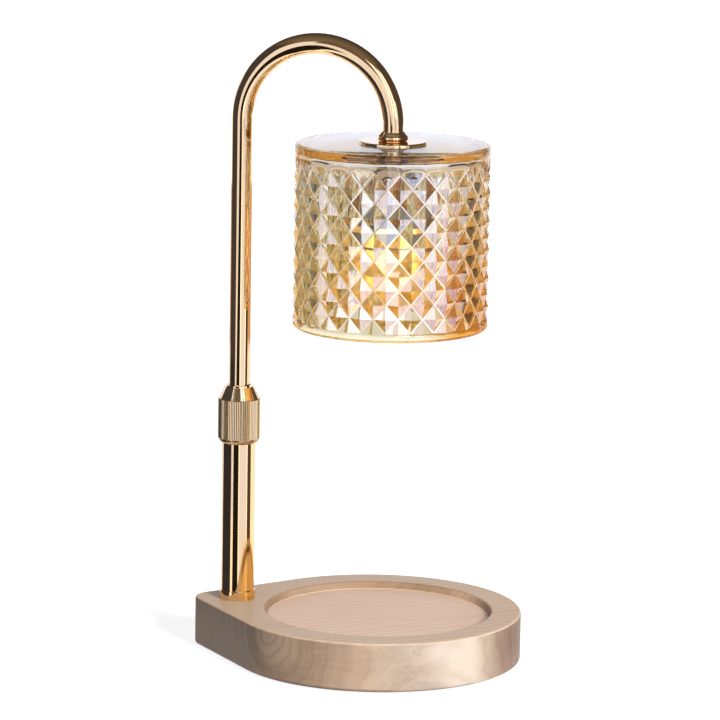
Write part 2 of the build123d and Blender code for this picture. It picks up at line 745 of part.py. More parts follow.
def bulb_capsule():
    low = bulb_base_low - CAPSULE_LENGTH
    body = disc(CAPSULE_RADIUS, low, bulb_base_low, cup_x)
    return fillet(hoops(body, CAPSULE_RADIUS, low, cup_x), 0.9 * CAPSULE_RADIUS)


NODES = {
    "wood_base": wood_base,
    "bottom_plate": bottom_plate,
    "plate_screws": plate_screws,
    "rubber_feet": rubber_feet,
    "foot_ring": foot_ring,
    "post_tube": post_tube,
    "post_washer": post_washer,
    "post_nut": post_nut,
    "cord_gland": cord_gland,
    "crimp_caps": crimp_caps,
    "slack_lead": slack_lead,
    "split_collet": split_collet,
    "clamp_ring": clamp_ring,
    "lock_nut": lock_nut,
    "arm_tube": arm_tube,
    "guide_bush": guide_bush,
    "neck_collar": neck_collar,
    "shade_flange": shade_flange,
    "top_gasket": top_gasket,
    "glass_shade": glass_shade,
    "lower_gasket": lower_gasket,
    "shade_nut": shade_nut,
    "holder_cup": holder_cup,
    "cup_nut": cup_nut,
    "lamp_holder": lamp_holder,
    "holder_screws": holder_screws,
    "holder_contacts": holder_contacts,
    "lamp_leads": lamp_leads,
    "bulb_base": bulb_base,
    "bulb_pins": bulb_pins,
    "bulb_reflector": bulb_reflector,
    "bulb_lens": bulb_lens,
    "bulb_capsule": bulb_capsule,
}


def main():
    os.makedirs("parts", exist_ok=True)
    for name, make in NODES.items():
        export_step(make(), f"parts/{name}.step")


main()
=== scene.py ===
import json
import math

import bmesh
import bpy
from mathutils import Matrix, Vector


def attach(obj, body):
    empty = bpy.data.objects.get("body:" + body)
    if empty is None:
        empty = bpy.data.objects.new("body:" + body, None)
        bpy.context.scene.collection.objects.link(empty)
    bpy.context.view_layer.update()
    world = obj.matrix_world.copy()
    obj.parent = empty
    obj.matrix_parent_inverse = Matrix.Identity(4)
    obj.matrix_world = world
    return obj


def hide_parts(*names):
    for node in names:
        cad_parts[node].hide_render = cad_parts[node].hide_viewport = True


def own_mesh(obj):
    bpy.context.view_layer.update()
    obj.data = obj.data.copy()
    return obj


MM = 0.001

# The camera of the photograph, in the frame of the lamp.
CAMERA_PLACE = Vector((0.467236, -1.868659, 0.503445))
CAMERA_AIM = Vector((0.0012776, -0.0041930, 0.1449489))
CAMERA_ROLL = math.radians(0.9339)
CAMERA_LENS = 207.05
SENSOR_WIDTH = 36.0
SIGHT_LIMIT = 20.0
# The direction from the lamp to the camera, in degrees from +X.
TOWARDS_CAMERA = -76.4

# The glass shade, repeated from the CAD in millimetres.
SHADE_X = 14.4
SHADE_APEX_RADIUS = 46.2
SHADE_BORE_RADIUS = 42.8
SHADE_TOP = 248.175
SHADE_LOW = 161.075
SHADE_CEILING = 244.175
SHADE_TOP_ROUND = 1.6
SHADE_RIM_ROUND = 1.6
SHADE_LIP_ROUND = 1.0
SHADE_INNER_ROUND = 4.0
SHADE_HOLE_RADIUS = 5.4
SHADE_HOLE_LAND = 2.0
# The post and the lock nut: the nut's knurling has painted shade down to the flute root and is
# bright from the crest, and its polished cone starts at the shoulder.
POST_X = -58.85
FLUTE_ROOT = 9.75
FLUTE_CREST = 9.95
NUT_SHOULDER = 122.4
# The recess in the base, and how far beyond its wall and floor their painted shade and light reach.
RECESS_X = 11.15
RECESS_RADIUS = 54.2
RECESS_FLOOR = 21.0
WALL_MARGIN = 0.4
FLOOR_MARGIN = 0.15
# The part of the bulb's capsule over which its glow fades.
GLOW_LOW = 170.0
GLOW_HIGH = 173.0
# A painted orange reflection of the wood on the foot of the post fades out between these heights.
REFLECTION_FADE_LOW = 36.0
REFLECTION_FADE_HIGH = 64.0
# Across the shade, in millimetres from its axis: where the band clears and the painted amber edge
# light sets in.
BAND_CLEARS = (-10, 35)
EDGE_LIGHT_STARTS = (20, 44)

# The cut diamonds, from the photograph: columns counted by their halves, heights in millimetres.
HALF_COLUMNS = 48
FIRST_COLUMN = -79.0
PATTERN_TOP = 239.1
PATTERN_LOW = 165.2
PATTERN_LEVELS = 11
CUT_DEPTH = 1.8
VALLEY_SHARE = 0.072
BAND_LOW = 239.9
SCALLOP_LOW = 237.6
RIM_TOP = 164.4
PLAIN_INSET = 0.25
STEPS_PER_HALF_COLUMN = 4
# The finishes of the shade's faces while it is made.
PLAIN, LUSTRE, GROOVE = 0, 1, 2

# The grain of the wood: the place and turn of its pith, its drift and rings, all in metres.
PITH_SHIFT = (0, 0.0180, -0.0265)
PITH_TURN = (0, math.radians(-3.0), math.radians(-38.0))
GRAIN_DRIFT = (0.0, 0.017, 0.013)
RINGS_PER_METRE = 185.0
FINE_RINGS_PER_METRE = 420.0
# The heart wood round the pith fades between these distances.
HEART_FADES = (0.022, 0.052)
# A brown streak lies this far from the pith, and farther along the base by its slant.
STREAK_DISTANCE = 0.0295
STREAK_SLANT = 0.45
STREAK_FADES = (0.0005, 0.0075)

# Studio distances in metres. The cards begin just over the floor, and most of them stand at one
# reach from the post.
CARD_REACH = 0.60
CARD_GAP = 0.0006
CARD_STEPS = 16
FLOOR_HALF = 5.0
BACKDROP_RADIUS = 4.8
THROUGH_GLASS_RADIUS = 4.7
ROOM_RADIUS = 1.3
HORIZON_REACH = 1.35
BOUNCE_RADIUS = 0.9
BOUNCE_HEIGHT = 0.0003
BOUNCE_CORNERS = 32

# Most values of a noise texture lie between these.
NOISE_LOW = 0.3
NOISE_HIGH = 0.7
BLACK = (0.0, 0.0, 0.0)

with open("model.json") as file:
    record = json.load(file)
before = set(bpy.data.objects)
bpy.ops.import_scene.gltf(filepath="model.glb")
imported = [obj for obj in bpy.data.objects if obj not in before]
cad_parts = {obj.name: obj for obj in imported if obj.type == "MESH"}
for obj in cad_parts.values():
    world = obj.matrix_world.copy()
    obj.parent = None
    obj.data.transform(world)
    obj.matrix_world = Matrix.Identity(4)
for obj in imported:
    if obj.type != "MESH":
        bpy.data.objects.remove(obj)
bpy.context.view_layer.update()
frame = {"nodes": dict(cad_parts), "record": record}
nodes = frame["nodes"]


def put(tree, kind, inputs=None, **settings):
    """Adds a node, and sets or links its named or numbered inputs."""
    node = tree.nodes.new(kind)
    for name, value in settings.items():
        setattr(node, name, value)
    for name, value in (inputs or {}).items():
        if isinstance(value, bpy.types.NodeSocket):
            tree.links.new(value, node.inputs[name])
        else:
            node.inputs[name].default_value = value
    return node


def new_material(name):
    made = bpy.data.materials.new(name)
    made.use_nodes = True
    return made, made.node_tree, made.node_tree.nodes["Principled BSDF"]


def connect(tree, shader, **sockets):
    """Links sockets to the shader's inputs, with underscores for the spaces in their names."""
    for name, socket in sockets.items():
        tree.links.new(socket, shader.inputs[name.replace("_", " ")])


def plain(shader, **values):
    """Sets the shader's inputs to plain values."""
    for name, value in values.items():
        shader.inputs[name.replace("_", " ")].default_value = value


def object_place(tree):
    """Object coordinates, which are metres in the lamp's frame."""
    return put(tree, "ShaderNodeTexCoord").outputs["Object"]


def along(tree, axis):
    """One object coordinate: X, Y or Z."""
    return put(tree, "ShaderNodeSeparateXYZ", {0: object_place(tree)}).outputs[axis]


def facing(tree, axis):
    """How far the surface faces along X, Y or Z, from -1 to 1."""
    normal = put(tree, "ShaderNodeNewGeometry").outputs["Normal"]
    return put(tree, "ShaderNodeSeparateXYZ", {0: normal}).outputs[axis]


def noise_texture(tree, scale, detail, rough):
    """A noise in object coordinates, with one scale or three."""
    scales = scale if isinstance(scale, tuple) else (scale, scale, scale)
    stretched = put(tree, "ShaderNodeMapping", {"Vector": object_place(tree), "Scale": scales})
    return put(tree, "ShaderNodeTexNoise", {"Vector": stretched.outputs[0], "Scale": 1.0,
                                            "Detail": detail, "Roughness": rough})


def noise(tree, scale, detail=3.0, rough=0.5):
    return noise_texture(tree, scale, detail, rough).outputs["Fac"]


def spread(tree, value, low, high, from_low=NOISE_LOW, from_high=NOISE_HIGH):
    """Maps from_low..from_high, most of a noise's values, to low..high."""
    made = put(tree, "ShaderNodeMapRange", {"Value": value, "From Min": from_low,
                                            "From Max": from_high, "To Min": low, "To Max": high})
    return made.outputs["Result"]


def between(tree, value, low, high):
    """0 below low, 1 above high and a smooth step between them."""
    made = put(tree, "ShaderNodeMapRange", {"Value": value, "From Min": low, "From Max": high},
               interpolation_type="SMOOTHSTEP")
    return made.outputs["Result"]


def height_share(tree, low, high):
    """0 at the height low and 1 at the height high, in millimetres."""
    return spread(tree, along(tree, "Z"), 0.0, 1.0, low * MM, high * MM)


def maths(tree, operation, first, second=0.0):
    return put(tree, "ShaderNodeMath", {0: first, 1: second}, operation=operation).outputs[0]


def times(tree, first, second):
    return maths(tree, "MULTIPLY", first, second)


def rest_of(tree, share):
    return maths(tree, "SUBTRACT", 1.0, share)


def vector_maths(tree, operation, first, second):
    made = put(tree, "ShaderNodeVectorMath", {0: first, 1: second}, operation=operation)
    return made.outputs[0]


def length(tree, vector):
    return put(tree, "ShaderNodeVectorMath", {0: vector}, operation="LENGTH").outputs["Value"]


def from_axis(tree, x):
    """The distance from an upright axis at x millimetres, in metres."""
    away = vector_maths(tree, "SUBTRACT", object_place(tree), (x * MM, 0, 0))
    return length(tree, vector_maths(tree, "MULTIPLY", away, (1.0, 1.0, 0.0)))


def ramp(tree, value, stops):
    """A colour ramp of (place, colour) stops."""
    made = put(tree, "ShaderNodeValToRGB", {"Fac": value})
    band = made.color_ramp
    while len(band.elements) < len(stops):
        band.elements.new(0.5)
    for element, (at, colour) in zip(band.elements, stops):
        element.position = at
        element.color = (*colour, 1)
    return made.outputs["Color"]


def bump(tree, height, distance, strength):
    inputs = {"Height": height, "Distance": distance, "Strength": strength}
    return put(tree, "ShaderNodeBump", inputs).outputs["Normal"]


def mixed(tree, share, first, second, blend="MIX"):
    """A mix of two colours, each a socket or three numbers: the node's inputs 6 and 7."""
    first, second = ((*end, 1) if isinstance(end, tuple) else end for end in (first, second))
    made = put(tree, "ShaderNodeMix", {0: share, 6: first, 7: second},
               data_type="RGBA", blend_type=blend)
    return made.outputs[2]


def mixed_number(tree, share, first, second):
    """A mix of two numbers, which are the node's inputs 2 and 3."""
    return put(tree, "ShaderNodeMix", {0: share, 2: first, 3: second}).outputs[0]


def polished_gold(name, tint, low, high, smudge_scale=60):
    """Lacquered, polished plating: faint draw lines along the tube and thin smudges in the gloss.

    The roughness lies between low and high. At the foot of the post, on the side of the recess,
    the plating has a painted orange reflection of the wood.
    """
    made, tree, shader = new_material(name)
    smudges = noise(tree, (smudge_scale, smudge_scale, smudge_scale * 0.5), detail=4, rough=0.6)
    draw_lines = noise(tree, (2600, 2600, 60), detail=2)
    # Painted reflection: the wood's orange, on the low part of the post that faces the recess.
    foot = rest_of(tree, between(tree, along(tree, "Z"), REFLECTION_FADE_LOW * MM, REFLECTION_FADE_HIGH * MM))
    warm = times(tree, foot, between(tree, facing(tree, "X"), 0.30, 0.55))
    plating_and_painted_reflection = mixed(tree, warm, tint, (1.0, 0.60, 0.17))
    connect(tree, shader,
            Base_Color=mixed(tree, spread(tree, smudges, 0, 0.05), plating_and_painted_reflection, BLACK),
            Roughness=spread(tree, smudges, low, high),
            Normal=bump(tree, draw_lines, 0.000004, 0.25))
    plain(shader, Metallic=1.0)
    return made


def satin_gold():
    """The lock nut: a dull knurled body, painted shade in its flutes, and a shiny cone."""
    made, tree, shader = new_material("satin_gold")
    turned = noise(tree, (300, 300, 1500), detail=2)
    cloud = noise(tree, 180, detail=3)
    on_cone = maths(tree, "GREATER_THAN", along(tree, "Z"), NUT_SHOULDER * MM)
    # Painted shade: dark gold deep in the flutes, bright gold at the crests and on the cone.
    crest = between(tree, from_axis(tree, POST_X), FLUTE_ROOT * MM, FLUTE_CREST * MM)
    wear_and_painted_shading = maths(tree, "MAXIMUM", crest, on_cone)
    painted_flute_shade = mixed(tree, wear_and_painted_shading, (0.42, 0.26, 0.12), (1.0, 0.75, 0.43))
    connect(tree, shader,
            Base_Color=mixed(tree, spread(tree, cloud, 0, 0.25), painted_flute_shade, (0.74, 0.50, 0.26)),
            Roughness=mixed_number(tree, on_cone, spread(tree, turned, 0.20, 0.27), 0.07),
            Metallic=mixed_number(tree, on_cone, 0.85, 1.0),
            Normal=bump(tree, turned, 0.00001, 0.3))
    return made


def steel(name, tint, rough, cell=900):
    """Bright steel: a fine spangle and drawn lines."""
    made, tree, shader = new_material(name)
    spangle = noise(tree, cell, detail=2)
    lines = noise(tree, (300, 4200, 4200), detail=2)
    dull = tuple(part * 0.8 for part in tint)
    connect(tree, shader,
            Base_Color=mixed(tree, spread(tree, spangle, 0, 1), tint, dull),
            Roughness=spread(tree, spangle, rough * 0.75, rough * 1.3),
            Normal=bump(tree, lines, 0.00001, 0.4))
    plain(shader, Metallic=1.0)
    return made


def powder_black():
    """The bottom plate: black powder coat with its orange-peel grain."""
    made, tree, shader = new_material("black_steel")
    peel = noise(tree, 1500, detail=2)
    wear = noise(tree, 90, detail=4, rough=0.65)
    fresh, wear_and_painted_shading = (0.020, 0.020, 0.022), (0.045, 0.043, 0.042)
    connect(tree, shader,
            Base_Color=mixed(tree, spread(tree, wear, 0, 1), fresh, wear_and_painted_shading),
            Roughness=spread(tree, wear, 0.42, 0.62),
            Normal=bump(tree, peel, 0.00006, 0.6))
    return made


def moulded(name, first, second, rough, through=0.0):
    """Moulded rubber, plastic or silicone: slight cloudiness and a fine eroded grain."""
    made, tree, shader = new_material(name)
    cloud = noise(tree, 160, detail=3)
    skin = noise(tree, 2400, detail=2)
    connect(tree, shader,
            Base_Color=mixed(tree, spread(tree, cloud, 0, 1), first, second),
            Roughness=spread(tree, cloud, rough * 0.85, rough * 1.15),
            Normal=bump(tree, skin, 0.00002, 0.4))
    plain(shader, Subsurface_Weight=through, Subsurface_Scale=0.002)
    return made


def ceramic(name, tint):
    """Unglazed steatite: dry, fine grained, with a few darker specks."""
    made, tree, shader = new_material(name)
    grain = noise(tree, 3000, detail=3)
    specks = noise(tree, 1400, detail=1)
    speck = tuple(part * 0.62 for part in tint)
    connect(tree, shader,
            Base_Color=ramp(tree, specks, [(0.30, speck), (0.36, tint)]),
            Roughness=spread(tree, grain, 0.55, 0.75),
            Normal=bump(tree, grain, 0.00003, 0.5))
    return made


def pith_distance(tree):
    """The distance from the wood's pith in metres, drifting along the grain."""
    turned = put(tree, "ShaderNodeMapping", {"Vector": object_place(tree),
                                             "Location": PITH_SHIFT, "Rotation": PITH_TURN})
    drift = noise_texture(tree, (11, 24, 24), detail=3.0, rough=0.6).outputs["Color"]
    moved = vector_maths(tree, "ADD", turned.outputs[0],
                         vector_maths(tree, "MULTIPLY", drift, GRAIN_DRIFT))
    return length(tree, vector_maths(tree, "MULTIPLY", moved, (0.0, 1.0, 1.0)))


def wood_figure(tree, distance, upright):
    """The growth rings, clearest on the sides near the pith, and a brown streak beside them."""
    ring = maths(tree, "FRACT", times(tree, distance, RINGS_PER_METRE))
    dark, light = (0.330, 0.200, 0.120), (0.645, 0.472, 0.325)
    growth = ramp(tree, ring, [(0.0, dark), (0.16, (0.585, 0.420, 0.298)), (0.45, light),
                               (0.72, (0.625, 0.456, 0.326)), (1.0, dark)])
    heart = times(tree, rest_of(tree, between(tree, distance, *HEART_FADES)), upright)
    figure = spread(tree, noise(tree, 14, detail=1), 0.15, 0.45, 0.40, 0.62)
    figured = maths(tree, "ADD", figure, times(tree, heart, 0.60))
    sapwood = mixed(tree, figured, light, growth)
    slanted = maths(tree, "SUBTRACT", distance, times(tree, along(tree, "X"), STREAK_SLANT))
    off_streak = maths(tree, "ABSOLUTE", maths(tree, "SUBTRACT", slanted, STREAK_DISTANCE))
    streak = times(tree, rest_of(tree, between(tree, off_streak, *STREAK_FADES)), upright)
    streaked = mixed(tree, times(tree, streak, 0.80), sapwood, (0.250, 0.130, 0.062))
    return mixed(tree, times(tree, heart, 0.22), streaked, (0.460, 0.310, 0.215))


def wood_fibres(tree, wood, distance, fibres, pores):
    """Fine lines, fibres, soft clouds and pores over the wood."""
    fine_ring = maths(tree, "FRACT", times(tree, distance, FINE_RINGS_PER_METRE))
    line = times(tree, between(tree, fine_ring, 0.7, 1.0), 0.35)
    lined = mixed(tree, line, wood, (0.560, 0.395, 0.280))
    fibred = mixed(tree, spread(tree, fibres, 0.0, 0.45), lined, (0.545, 0.385, 0.275))
    cloud = noise(tree, (10, 22, 22), detail=2)
    shaded = mixed(tree, spread(tree, cloud, 0.0, 0.35), fibred, (0.690, 0.530, 0.400))
    pitted = ramp(tree, pores, [(0.30, (0.84, 0.81, 0.78)), (0.42, (1.0, 1.0, 1.0))])
    return mixed(tree, 0.8, shaded, pitted, "MULTIPLY")


def wood_ends(tree, wood, upright):
    """Darker end grain on both ends, also painted shade, and a painted sheen before the far end."""
    to_far, to_near = facing(tree, "X"), times(tree, facing(tree, "X"), -1.0)
    # Painted shade: the end grain's darkening is deepened past its own tone, on both ends.
    far_end = between(tree, to_far, 0.80, 1.0)
    end_grain_and_shade = maths(tree, "ADD", times(tree, far_end, 0.83), between(tree, to_near, 0.49, 0.95))
    end_grain_with_painted_shade = mixed(tree, end_grain_and_shade, wood, (0.27, 0.20, 0.18), "MULTIPLY")
    # Painted sheen: the side before the far end is paler and cooler.
    side = times(tree, between(tree, to_far, 0.10, 0.55), upright)
    painted_sheen = times(tree, side, rest_of(tree, far_end))
    return mixed(tree, painted_sheen, end_grain_with_painted_shade, (1.0, 1.13, 1.27), "MULTIPLY")


def wood_recess(tree, wood):
    """Painted shade on the recess's wall, and painted light on its floor and facing the post."""
    reach, level = from_axis(tree, RECESS_X), along(tree, "Z")
    over_floor = (RECESS_FLOOR + FLOOR_MARGIN) * MM
    wall = times(tree, maths(tree, "LESS_THAN", reach, (RECESS_RADIUS + WALL_MARGIN) * MM),
                 maths(tree, "GREATER_THAN", level, over_floor))
    # Painted shade and light: the wall is darker, and lighter where it faces the post.
    to_post = between(tree, times(tree, facing(tree, "X"), -1.0), 0.1, 0.8)
    wear_and_painted_shading = mixed(tree, to_post, (0.56, 0.49, 0.41), (1.35, 1.30, 1.22))
    painted_wall_shading = mixed(tree, wall, wood, wear_and_painted_shading, "MULTIPLY")
    # Painted light: the floor of the recess is paler and cooler.
    floor = times(tree, maths(tree, "LESS_THAN", reach, RECESS_RADIUS * MM),
                  maths(tree, "LESS_THAN", level, over_floor))
    return mixed(tree, floor, painted_wall_shading, (1.27, 1.25, 1.34), "MULTIPLY")


def ash_wood():
    """Pale ash: soft rings, fibres, pores and end grain, with painted shade, sheen and light."""
    made, tree, shader = new_material("ash_wood")
    upright = rest_of(tree, between(tree, facing(tree, "Z"), 0.2, 0.7))
    distance = pith_distance(tree)
    pores = noise(tree, (55, 1900, 1900), detail=2, rough=0.6)
    fibres = noise(tree, (24, 620, 620), detail=4, rough=0.6)
    figured = wood_figure(tree, distance, upright)
    grained = wood_fibres(tree, figured, distance, fibres, pores)
    connect(tree, shader,
            Base_Color=wood_recess(tree, wood_ends(tree, grained, upright)),
            Roughness=spread(tree, fibres, 0.43, 0.55),
            Normal=bump(tree, pores, 0.00003, 0.3))
    plain(shader, Specular_IOR_Level=0.45)
    return made


def across_shade(tree, left, right):
    """0 at left and 1 at right, both in millimetres from the shade's axis."""
    return between(tree, along(tree, "X"), (SHADE_X + left) * MM, (SHADE_X + right) * MM)


def glass_tint(tree, share, lustre):
    """The glass's tint: pale facets, deep ones that look down, bare glass and the plain band."""
    cloud = noise(tree, 35, detail=3)
    shift = maths(tree, "ADD", share, spread(tree, cloud, -0.06, 0.06))
    pale = ramp(tree, shift, [(0.0, (0.955, 0.865, 0.560)), (0.45, (0.950, 0.915, 0.670)),
                              (0.78, (0.930, 0.960, 0.910)), (1.0, (0.915, 0.955, 0.975))])
    deep = ramp(tree, shift, [(0.0, (0.950, 0.660, 0.165)), (0.45, (0.945, 0.775, 0.300)),
                              (0.78, (0.925, 0.895, 0.660)), (1.0, (0.905, 0.925, 0.900))])
    bare = ramp(tree, shift, [(0.0, (0.925, 0.840, 0.620)), (0.45, (0.935, 0.910, 0.760)),
                              (0.80, (0.925, 0.945, 0.945)), (1.0, (0.805, 0.848, 0.910))])
    up = facing(tree, "Z")
    # Painted glow: the lustre's tint is deepest on facets that look down, for the lit bulb they
    # show.
    facet = mixed(tree, between(tree, up, -0.12, 0.12), deep, pale)
    wall = rest_of(tree, between(tree, maths(tree, "ABSOLUTE", up), 0.3, 0.7))
    on_band = times(tree, between(tree, share, 0.86, 0.91), wall)
    to_right = across_shade(tree, *BAND_CLEARS)
    band = mixed(tree, to_right, (0.86, 0.82, 0.77), (0.985, 0.990, 0.995))
    return mixed(tree, lustre, mixed(tree, on_band, bare, band), facet)


def amber_glass():
    """Pressed glass, amber right through, with a bright lustre on the facets and frosted grooves.

    The lustre's tint is deepest on the facets that look down, a painted glow of the lit bulb they
    show. At the right, and more so low down, the glass has a deeper amber as painted edge light,
    and its lustre is weaker there. The grooves have a painted glow. The mesh's face attributes
    say which faces have the lustre ("lustre") and which are grooves ("groove").
    """
    made, tree, shader = new_material("amber_glass")
    share = height_share(tree, SHADE_LOW, SHADE_TOP)
    lustre, groove = (put(tree, "ShaderNodeAttribute", attribute_name=name).outputs["Fac"]
                      for name in ("lustre", "groove"))
    # Painted light: the glass turns deeper amber towards the right, most of all low down.
    side = across_shade(tree, *EDGE_LIGHT_STARTS)
    painted_edge_light = times(tree, side, maths(tree, "SUBTRACT", 1.15, share))
    with_painted_edge_light = mixed(tree, painted_edge_light, glass_tint(tree, share, lustre), (0.85, 0.42, 0.07))
    bright = spread(tree, side, 1.0, 0.55, 0.0, 1.0)
    waves = noise(tree, 160, detail=2)
    connect(tree, shader,
            Base_Color=mixed(tree, groove, with_painted_edge_light, (1.0, 0.95, 0.86)),
            Roughness=spread(tree, groove, 0.012, 0.42, 0.0, 1.0),
            Coat_Weight=times(tree, maths(tree, "MAXIMUM", lustre, groove), bright),
            # Painted glow: the grooves give off a faint cream light.
            Emission_Color=mixed(tree, groove, BLACK, (1.0, 0.92, 0.76)),
            Normal=bump(tree, waves, 0.00004, 0.35))
    plain(shader, Transmission_Weight=1.0, IOR=1.5, Coat_Roughness=0.02, Coat_IOR=3.6,
          Emission_Strength=0.25)
    body = put(tree, "ShaderNodeVolumeAbsorption",
               {"Color": (0.90, 0.60, 0.10, 1), "Density": 18.0})
    tree.links.new(body.outputs[0], tree.nodes["Material Output"].inputs["Volume"])
    return made


def clear_glass():
    """The bulb's front lens: clear, a little warm and wavy."""
    made, tree, shader = new_material("bulb_glass")
    waves = noise(tree, 400, detail=2)
    tint = mixed(tree, spread(tree, waves, 0, 1), (0.99, 0.97, 0.94), (0.97, 0.95, 0.91))
    connect(tree, shader, Base_Color=tint, Normal=bump(tree, waves, 0.00002, 0.3))
    plain(shader, Transmission_Weight=1.0, Roughness=0.02, IOR=1.48)
    return made


def lit_capsule():
    """The bulb's lit capsule, brightest at its foot, with an uneven glow."""
    made, tree, shader = new_material("lit_glass")
    cells = noise(tree, 420, detail=2)
    share = height_share(tree, GLOW_LOW, GLOW_HIGH)
    uneven = maths(tree, "ADD", share, spread(tree, cells, -0.12, 0.12))
    glow = ramp(tree, uneven, [(0.0, (1.0, 0.76, 0.40)), (1.0, (1.0, 0.70, 0.34))])
    connect(tree, shader, Base_Color=glow, Emission_Color=glow,
            Normal=bump(tree, cells, 0.00005, 0.4))
    plain(shader, Roughness=0.3, Emission_Strength=4.6)
    return made


def lit_reflector():
    """The reflector's coating lets warm light through to the back, in small pebbled facets."""
    made, tree, shader = new_material("lit_reflector")
    pebbles = put(tree, "ShaderNodeTexVoronoi", {"Vector": object_place(tree), "Scale": 330.0})
    shade = put(tree, "ShaderNodeSeparateColor", {0: pebbles.outputs["Color"]}).outputs[0]
    glow = ramp(tree, shade, [(0.0, (0.10, 0.045, 0.010)), (0.45, (0.55, 0.27, 0.06)),
                              (0.75, (1.0, 0.58, 0.14)), (1.0, (1.0, 0.84, 0.46))])
    connect(tree, shader,
            Base_Color=mixed(tree, shade, (0.95, 0.80, 0.50), (1.0, 0.92, 0.70)),
            Emission_Color=glow,
            Normal=bump(tree, pebbles.outputs["Distance"], 0.0004, 0.8))
    plain(shader, Transmission_Weight=0.7, Roughness=0.32, IOR=1.45, Emission_Strength=0.35)
    return made


def every_material():
    """One material for each of the record's slots."""
    return {
        "ash_wood": ash_wood(),
        "black_steel": powder_black(),
        "zinc_steel": steel("zinc_steel", (0.66, 0.66, 0.64), 0.34),
        "clear_rubber": moulded("clear_rubber", (0.72, 0.71, 0.68), (0.64, 0.63, 0.60), 0.45, 0.3),
        "polished_gold": polished_gold("polished_gold", (0.95, 0.65, 0.345), 0.045, 0.085),
        "satin_gold": satin_gold(),
        "plain_brass": polished_gold("plain_brass", (1.0, 0.80, 0.50), 0.22, 0.36, 200),
        "white_rubber": moulded("white_rubber", (0.80, 0.79, 0.77), (0.72, 0.71, 0.69), 0.5),
        "grey_nylon": moulded("grey_nylon", (0.30, 0.30, 0.30), (0.24, 0.24, 0.24), 0.45),
        "natural_nylon": moulded("natural_nylon", (0.78, 0.75, 0.68), (0.72, 0.69, 0.62), 0.42,
                                 0.2),
        "lead_insulation": moulded("lead_insulation", (0.78, 0.75, 0.66), (0.70, 0.67, 0.58), 0.5),
        "silicone": moulded("silicone", (0.82, 0.81, 0.78), (0.76, 0.75, 0.72), 0.4, 0.4),
        "amber_glass": amber_glass(),
        "holder_ceramic": ceramic("holder_ceramic", (0.86, 0.84, 0.79)),
        "contact_steel": steel("contact_steel", (0.68, 0.66, 0.62), 0.25, 1600),
        "bulb_ceramic": ceramic("bulb_ceramic", (0.82, 0.80, 0.76)),
        "reflector_mirror": lit_reflector(),
        "bulb_glass": clear_glass(),
        "lit_glass": lit_capsule(),
    }


def dress_nodes(materials):
    """Gives every CAD node the material of its slot in the record."""
    slots = {entry["node"]: entry["material_slot"] for entry in frame["record"]["subparts"]}
    for name, node in nodes.items():
        node.data.materials.clear()
        node.data.materials.append(materials[slots[name]])


def on_shade(half_column, z, radius):
    """A point of the shade at an angle counted in half columns, in metres."""
    angle = math.radians(FIRST_COLUMN + half_column * 360 / HALF_COLUMNS)
    x, y = SHADE_X + radius * math.cos(angle), radius * math.sin(angle)
    return Vector((x * MM, y * MM, z * MM))


def level_height(level):
    return PATTERN_TOP - level * (PATTERN_TOP - PATTERN_LOW) / PATTERN_LEVELS


class Cutting:
    """The outside of the shade while it is made: pyramids between flat-bottomed grooves.

    The pyramids' centres and the grooves' crossings lie on one grid of half columns and levels.
    """

    def __init__(self, mesh):
        self.mesh = mesh
        self.corners = {}

    def corner(self, centre, crossing):
        """The pyramid's corner near a crossing of grooves, held back by half a groove's width."""
        key = (centre[0] % HALF_COLUMNS, centre[1], crossing[0] % HALF_COLUMNS, crossing[1])
        if key not in self.corners:
            column, level = (near + (own - near) * VALLEY_SHARE
                             for own, near in zip(centre, crossing))
            point = on_shade(column, level_height(level), SHADE_APEX_RADIUS - CUT_DEPTH)
            self.corners[key] = self.mesh.verts.new(point)
        return self.corners[key]

    def apex(self, i, j):
        return self.mesh.verts.new(on_shade(i, level_height(j), SHADE_APEX_RADIUS))

    def face(self, *points, finish=LUSTRE):
        self.mesh.faces.new(points).material_index = finish

    def pyramid(self, i, j):
        """One diamond: four facets that meet in a point."""
        apex = self.apex(i, j)
        crossings = ((i, j - 1), (i - 1, j), (i, j + 1), (i + 1, j))
        around = [self.corner((i, j), crossing) for crossing in crossings]
        for first, second in zip(around, around[1:] + around[:1]):
            self.face(apex, first, second)

    def grooves(self, i, j):
        """The groove bottoms on the two lower sides of the cell at i, j."""
        for side in (-1, 1):
            other = (i + side, j + 1)
            first, second = (i + side, j), (i, j + 1)
            strip = [self.corner((i, j), first), self.corner((i, j), second),
                     self.corner(other, second), self.corner(other, first)]
            self.face(*(strip if side < 0 else strip[::-1]), finish=GROOVE)

    def crossing(self, i, j):
        """The small square where two grooves cross."""
        centres = ((i, j - 1), (i - 1, j), (i, j + 1), (i + 1, j))
        self.face(*[self.corner(centre, (i, j)) for centre in centres], finish=GROOVE)


def arc(centre, radius, start, end, steps):
    """Points of an arc in the (radius, height) plane, angles in degrees."""
    angles = [math.radians(start + (end - start) * k / steps) for k in range(steps + 1)]
    return [(centre[0] + radius * math.cos(a), centre[1] + radius * math.sin(a)) for a in angles]


